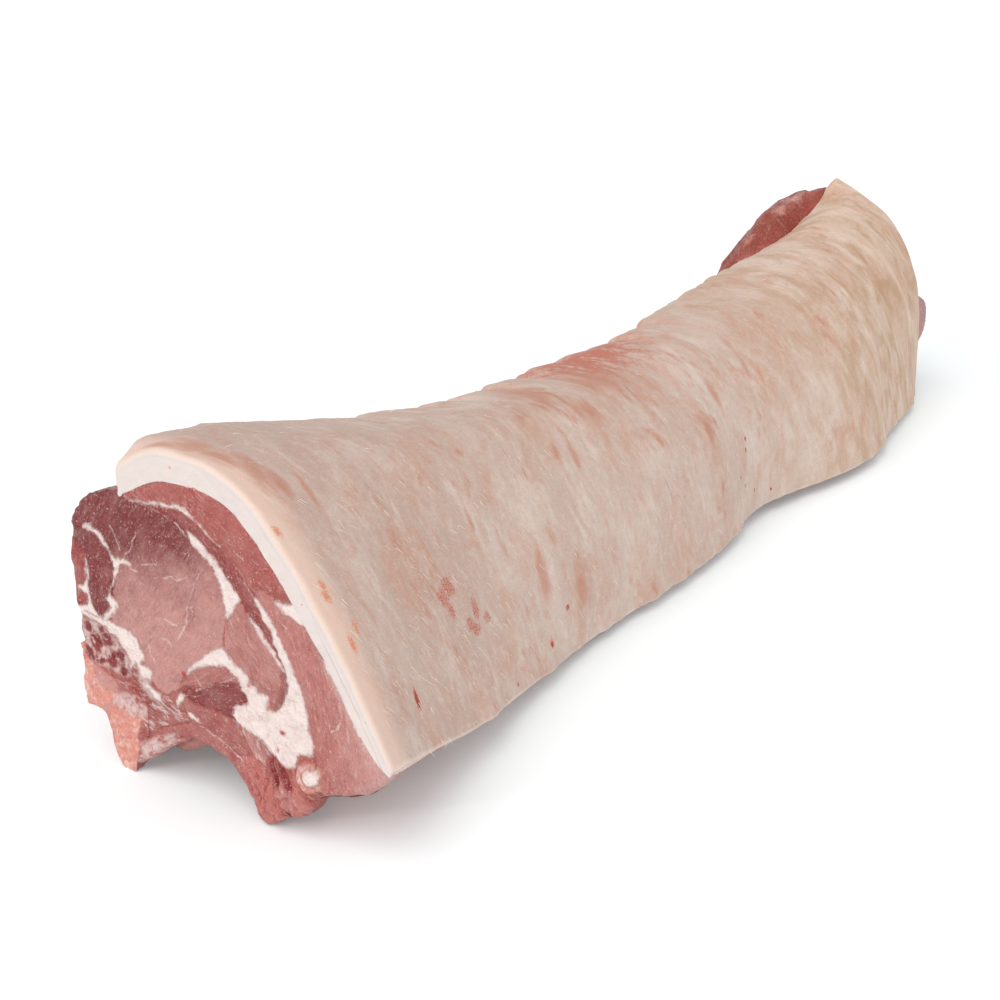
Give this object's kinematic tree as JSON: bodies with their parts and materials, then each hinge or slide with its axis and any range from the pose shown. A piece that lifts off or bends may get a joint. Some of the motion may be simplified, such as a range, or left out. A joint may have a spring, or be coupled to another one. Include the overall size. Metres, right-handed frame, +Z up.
{
  "type": "bone-in pork loin",
  "caption": "Long raw pork loin with its rind and back fat over the lean, cut square at both ends and lying on the split backbone and the rib ends.",
  "frame": {"origin": "middle of the overall length and width, on the surface the loin lies on", "axes": "+X along the loin from the shoulder cut to the rear cut, +Y towards the split backbone, +Z up towards the rind"},
  "size_m": [0.7058, 0.175, 0.1604],
  "materials": {
    "rind": "pale scalded pig skin, smooth and slightly moist, over white back fat",
    "lean": "raw pink to dark red pork lean, moist cut surface with fine grain",
    "fat": "firm white fat, cut",
    "bone": "sawn fresh bone, peach with red marrow"
  },
  "bodies": {
    "root": {"back_fat": "rind", "cap_lean": "lean", "seam_fat": "fat", "loin_lean": "lean", "backbone": "bone", "rib_1": "bone", "rib_2": "bone", "rib_3": "bone", "rib_4": "bone", "rib_5": "bone", "rib_6": "bone", "rib_7": "bone", "rib_8": "bone", "rib_9": "bone", "rib_10": "bone"}
  },
  "joints": []
}
